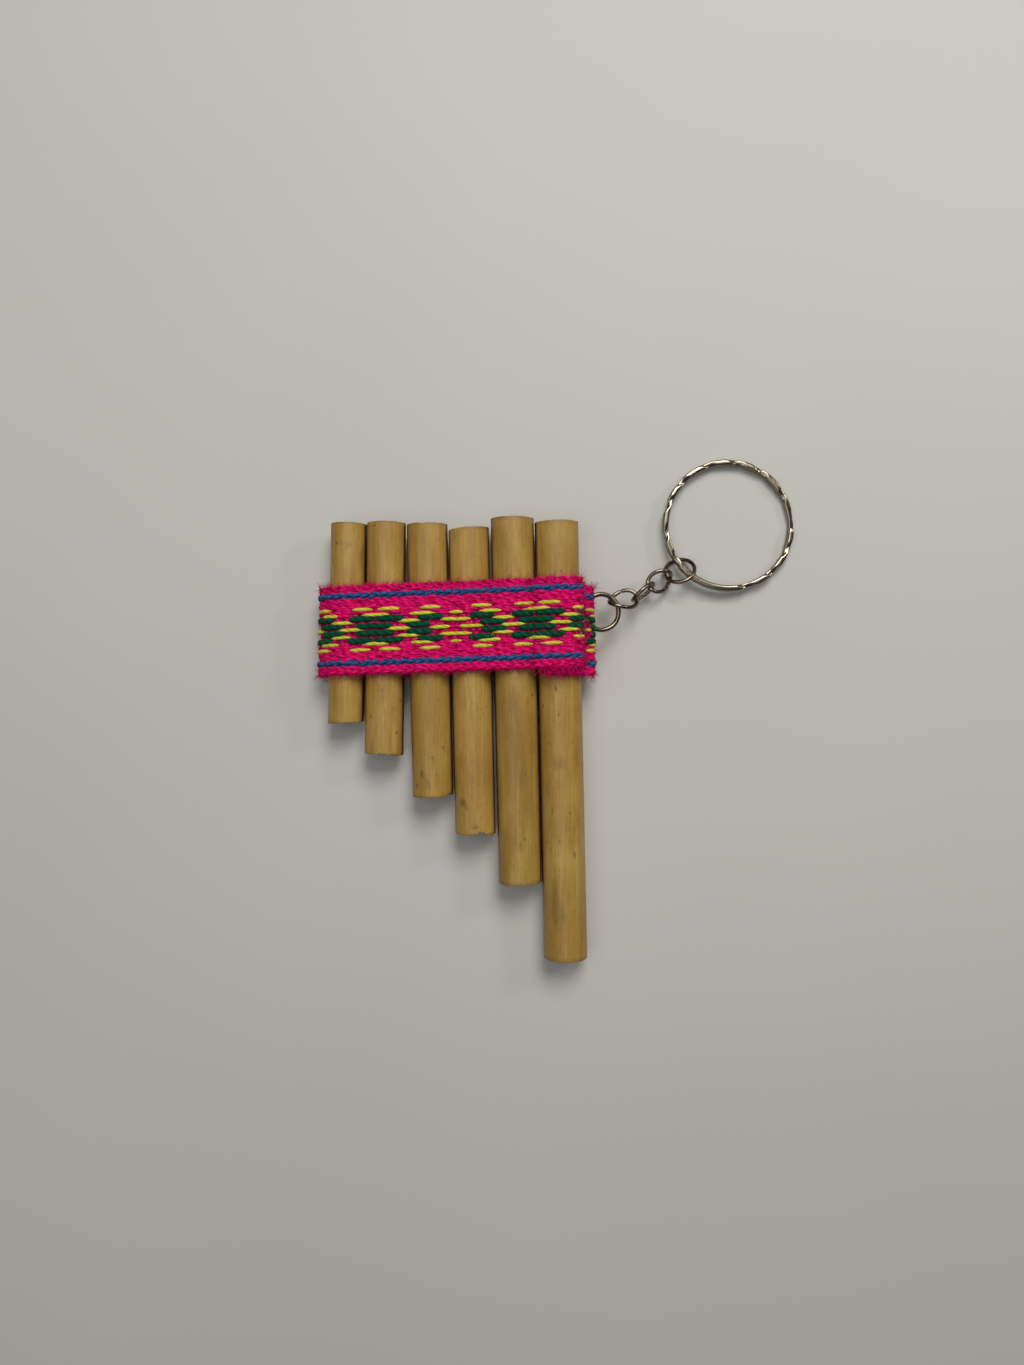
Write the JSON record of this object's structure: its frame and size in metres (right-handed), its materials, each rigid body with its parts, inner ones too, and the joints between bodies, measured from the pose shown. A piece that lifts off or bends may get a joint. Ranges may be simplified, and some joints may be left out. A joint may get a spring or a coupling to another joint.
{
  "type": "pan flute key ring",
  "caption": "Small pan flute of stopped cane pipes in a patterned woven band, with a short chain to a split key ring.",
  "frame": {"origin": "middle of the band's flat back, which the flute lies on", "axes": "+X across the pipes towards the longest one, +Y towards the mouths, +Z out of the band's front"},
  "size_m": [0.0893, 0.0935, 0.012],
  "materials": {
    "cane": "bare matte cane with long fibre streaks",
    "woven_wool": "warp-patterned hand-woven wool, slightly fuzzy",
    "nickel_wire": "nickel-plated wire, worn bright",
    "key_ring_steel": "nickel-plated, lightly hammered"
  },
  "bodies": {
    "flute": {"pipe_1": "cane", "pipe_2": "cane", "pipe_3": "cane", "pipe_4": "cane", "pipe_5": "cane", "pipe_6": "cane", "band_wrap": "woven_wool"},
    "band_ring": {"jump_ring_band": "nickel_wire"},
    "link_1": {"chain_link_1": "nickel_wire"},
    "link_2": {"chain_link_2": "nickel_wire"},
    "link_3": {"chain_link_3": "nickel_wire"},
    "key_jump": {"jump_ring_key": "nickel_wire"},
    "split_ring": {"key_ring": "key_ring_steel"}
  },
  "joints": [
    {"name": "band_ring_swing", "type": "hinge", "parent": "flute", "child": "band_ring", "pos_m": [0.02567, 0.0029, 0.00639], "axis": [0, 1, 0], "range_deg": [-55, 15]},
    {"name": "link_1_swing", "type": "hinge", "parent": "band_ring", "child": "link_1", "pos_m": [0.03012, 0.00484, 0.0056], "axis": [-0.5789, 0.809, 0.1021], "range_deg": [-45, 45]},
    {"name": "link_2_swing", "type": "hinge", "parent": "link_1", "child": "link_2", "pos_m": [0.03431, 0.00588, 0.0044], "axis": [0.2836, -0.9442, 0.1672], "range_deg": [-45, 45]},
    {"name": "link_3_swing", "type": "hinge", "parent": "link_2", "child": "link_3", "pos_m": [0.03746, 0.00817, 0.00331], "axis": [-0.0182, 0.4498, 0.893], "range_deg": [-45, 45]},
    {"name": "key_jump_swing", "type": "hinge", "parent": "link_3", "child": "key_jump", "pos_m": [0.04092, 0.01017, 0.00219], "axis": [-0.1428, 0.6598, 0.7378], "range_deg": [-45, 45]},
    {"name": "key_ring_swing", "type": "hinge", "parent": "key_jump", "child": "split_ring", "pos_m": [0.0433, 0.01128, 0.00219], "axis": [-0.6947, 0.7193, 0], "range_deg": [-60, 60]}
  ]
}
